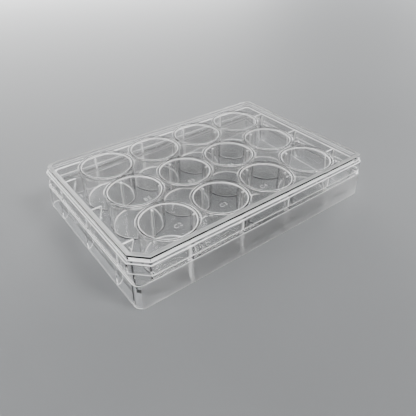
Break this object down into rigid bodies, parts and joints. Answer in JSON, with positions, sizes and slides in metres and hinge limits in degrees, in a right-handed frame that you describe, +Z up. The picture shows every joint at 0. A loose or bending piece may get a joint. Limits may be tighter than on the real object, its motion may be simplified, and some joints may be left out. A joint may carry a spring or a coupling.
{
  "type": "well plate",
  "caption": "Clear moulded culture plate: an open skirted tray that carries round flat-bottomed wells, under a loose stepped lid with one cut corner.",
  "frame": {"origin": "centre of the footprint, on the plane the skirt stands on", "axes": "+X along the long side, from column 1 to column 4; +Y along the short side, from row C to row A; +Z up"},
  "size_m": [0.1278, 0.0854, 0.0217],
  "materials": {
    "clear_polystyrene": "clear, polished",
    "clear_lid": "clear, polished"
  },
  "bodies": {
    "root": {"base_plate": "clear_polystyrene", "lid": "clear_lid"}
  },
  "joints": []
}
